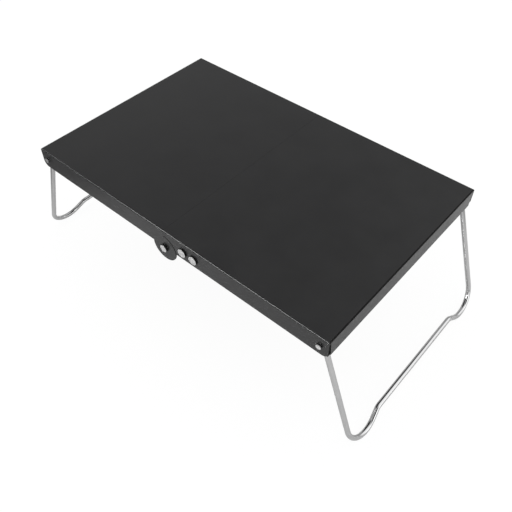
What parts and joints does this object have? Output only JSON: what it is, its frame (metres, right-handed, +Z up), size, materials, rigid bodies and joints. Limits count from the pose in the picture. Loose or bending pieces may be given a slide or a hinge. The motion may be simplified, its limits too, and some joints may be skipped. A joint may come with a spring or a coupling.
{
  "type": "folding camp table",
  "caption": "Low folding camp table: black bent-sheet top that folds at the middle on riveted side hinges, with wire legs that fold flat underneath",
  "frame": {"origin": "on the ground under the middle of the open table", "axes": "+X along the table towards the right end, +Y from the front flange to the rear flange, +Z up"},
  "size_m": [0.419, 0.2266, 0.1313],
  "materials": {
    "black_powder_coat": "satin black powder coat on sheet steel, finely textured",
    "dark_hinge_steel": "black coated stamped steel plate",
    "bright_rivet_steel": "bright set rivets with slightly mottled faces",
    "polished_leg_wire": "polished stainless wire"
  },
  "bodies": {
    "left_body": {"left_panel": "black_powder_coat", "front_pivot_rivet": "bright_rivet_steel", "rear_pivot_rivet": "bright_rivet_steel", "front_pivot_washer": "bright_rivet_steel", "rear_pivot_washer": "bright_rivet_steel"},
    "right_body": {"right_panel": "black_powder_coat", "front_hinge_leaf": "dark_hinge_steel", "rear_hinge_leaf": "dark_hinge_steel", "front_leaf_rivet_near": "bright_rivet_steel", "front_leaf_rivet_far": "bright_rivet_steel", "rear_leaf_rivet_near": "bright_rivet_steel", "rear_leaf_rivet_far": "bright_rivet_steel"},
    "left_leg_body": {"left_leg": "polished_leg_wire"},
    "right_leg_body": {"right_leg": "polished_leg_wire"}
  },
  "joints": [
    {"name": "table_fold", "type": "hinge", "parent": "left_body", "child": "right_body", "pos_m": [-0.0024, 0, 0.11054], "axis": [0, 1, 0], "range_deg": [0, 124]},
    {"name": "left_leg_fold", "type": "hinge", "parent": "left_body", "child": "left_leg_body", "pos_m": [-0.1643, 0, 0.12124], "axis": [0, -1, 0], "range_deg": [0, 112.5]},
    {"name": "right_leg_fold", "type": "hinge", "parent": "right_body", "child": "right_leg_body", "pos_m": [0.1643, 0, 0.12124], "axis": [0, 1, 0], "range_deg": [0, 112.5]}
  ]
}
